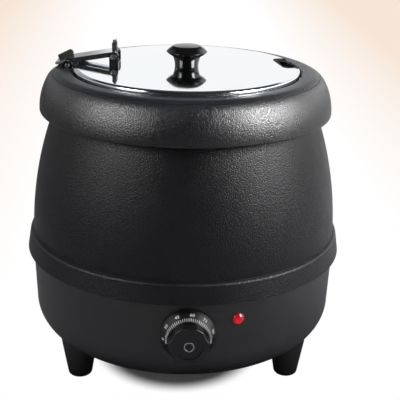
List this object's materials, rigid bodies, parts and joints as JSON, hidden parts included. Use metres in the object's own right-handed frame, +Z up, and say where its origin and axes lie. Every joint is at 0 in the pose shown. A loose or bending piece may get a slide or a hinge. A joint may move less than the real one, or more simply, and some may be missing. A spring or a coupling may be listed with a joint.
{
  "type": "soup kettle",
  "caption": "Round black countertop soup kettle with a hinged polished lid, lift-out pot, heated water jacket, thermostat dial and pilot lamp.",
  "frame": {"origin": "on the floor under the kettle's round body, at its axis", "axes": "+Z up, -Y the front with the dial, +X to the right seen from the front, +Y the rear with the cord gland"},
  "size_m": [0.3398, 0.376, 0.351],
  "materials": {
    "base_black": "satin",
    "grained_black": "fine leather grain, satin",
    "collar_black": "fine leather grain, satin",
    "gloss_black": "gloss",
    "foot_black": "satin",
    "soft_black": "matte",
    "black_steel": "satin",
    "polished_steel": "polished",
    "satin_steel": "satin",
    "bright_screw": "bright zinc",
    "heater_alloy": "cast",
    "copper_tube": "satin",
    "inner_plastic": "matte",
    "lamp_red": "translucent gloss",
    "wire_sleeve": "matte"
  },
  "bodies": {
    "kettle": {"base_shell": "base_black", "bottom_plate": "satin_steel", "bottom_screws": "bright_screw", "foot_left": "foot_black", "foot_right": "foot_black", "foot_rear": "foot_black", "foot_screws": "bright_screw", "barrel": "grained_black", "collar": "collar_black", "rim_ring": "collar_black", "water_pan": "satin_steel", "pot": "satin_steel", "heating_element": "heater_alloy", "element_plate": "satin_steel", "pan_stud": "bright_screw", "stud_nut": "bright_screw", "tie_rods": "bright_screw", "tie_nuts": "bright_screw", "thermal_cutout": "inner_plastic", "thermostat_body": "inner_plastic", "thermostat_screws": "bright_screw", "sensor_bulb": "copper_tube", "bulb_clip": "satin_steel", "capillary_tube": "copper_tube", "pilot_lamp_lens": "lamp_red", "pilot_lamp_body": "inner_plastic", "lamp_nut": "soft_black", "terminal_block": "inner_plastic", "wiring": "wire_sleeve", "cord_gland": "soft_black", "gland_nut": "soft_black", "hinge_pin": "satin_steel", "hinge_bush_front": "soft_black", "hinge_bush_rear": "soft_black", "pivot_screws": "bright_screw"},
    "lid": {"lid": "polished_steel", "notch_guard": "soft_black", "lid_knob": "gloss_black", "knob_washer": "bright_screw", "knob_screw": "bright_screw", "lid_bracket": "black_steel", "bracket_rivets": "bright_screw", "bracket_bolt": "bright_screw", "bracket_nut": "bright_screw", "hinge_strap": "polished_steel", "strap_grip": "soft_black", "hinge_knuckle": "satin_steel", "hinge_stop": "soft_black"},
    "dial": {"dial": "gloss_black", "dial_ring": "bright_screw", "dial_shaft": "satin_steel"}
  },
  "joints": [
    {"name": "lid_hinge", "type": "hinge", "parent": "kettle", "child": "lid", "pos_m": [-0.12299, 0.01883, 0.32514], "axis": [-0.0698, -0.9976, 0], "range_deg": [0, 95]},
    {"name": "dial_turn", "type": "hinge", "parent": "kettle", "child": "dial", "pos_m": [0, -0.165, 0.098], "axis": [0, 1, 0], "range_deg": [-100, 100]}
  ]
}
